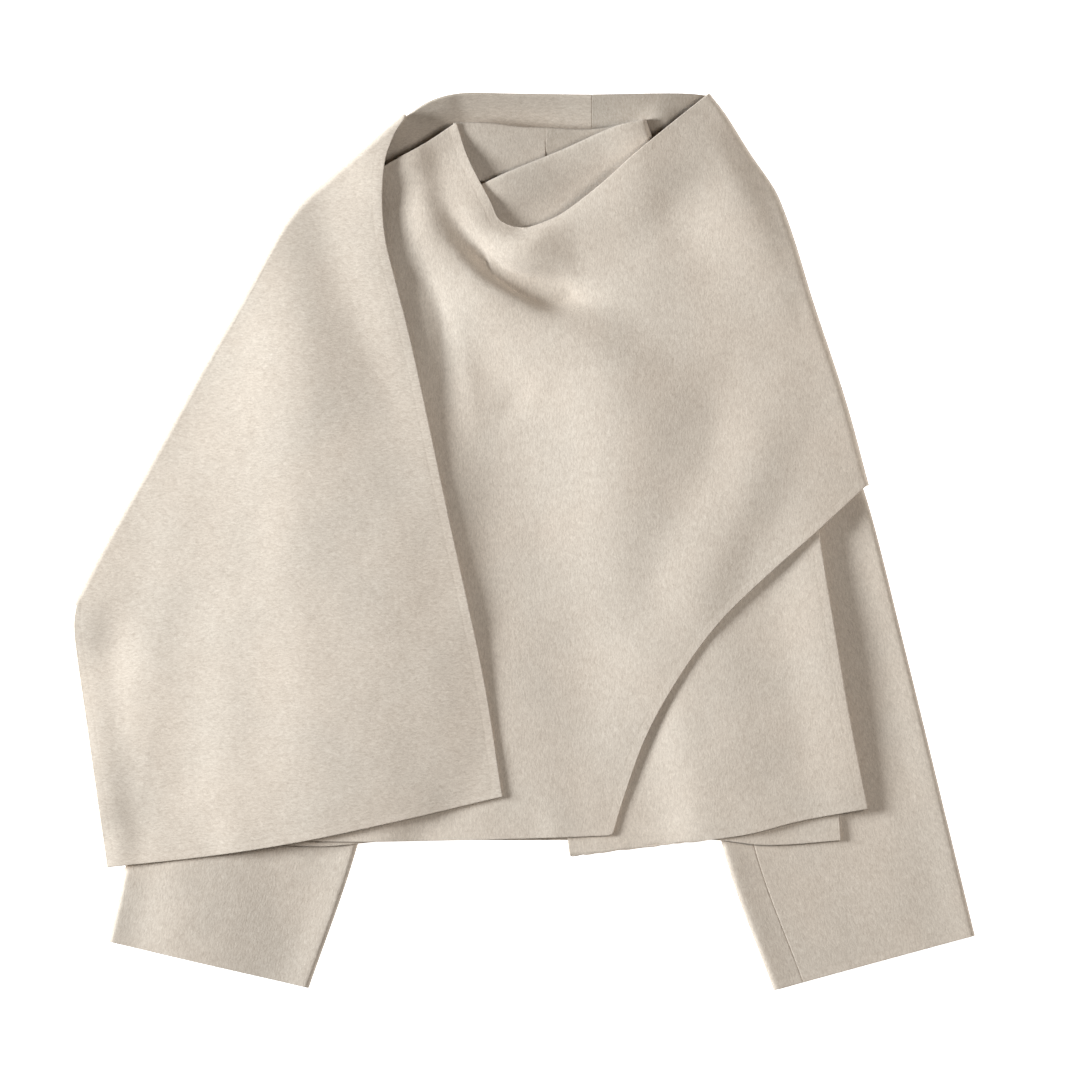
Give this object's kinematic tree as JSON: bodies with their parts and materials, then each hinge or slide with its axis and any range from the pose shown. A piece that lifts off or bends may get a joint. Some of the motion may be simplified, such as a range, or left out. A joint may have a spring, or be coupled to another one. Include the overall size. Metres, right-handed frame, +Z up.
{
  "type": "cape coat",
  "caption": "Cropped wool cape coat laid flat: a crossing front with a cowl neck, a scarf end thrown over the shoulder, an inner stand collar and wide sleeves.",
  "frame": {"origin": "centre of the coat's outline on the surface that it lies on", "axes": "+X to the wearer's left, +Y to the neck, +Z up, away from the surface that the coat lies on"},
  "size_m": [0.7391, 0.737, 0.0366],
  "materials": {
    "wool": "brushed double-faced wool in oatmeal melange, matt with a soft nap"
  },
  "bodies": {
    "root": {"back": "wool", "front_left": "wool", "front_right": "wool", "scarf": "wool", "collar_left": "wool", "collar_right": "wool", "sleeve_left_upper": "wool", "sleeve_left_under": "wool", "sleeve_right_upper": "wool", "sleeve_right_under": "wool"}
  },
  "joints": []
}
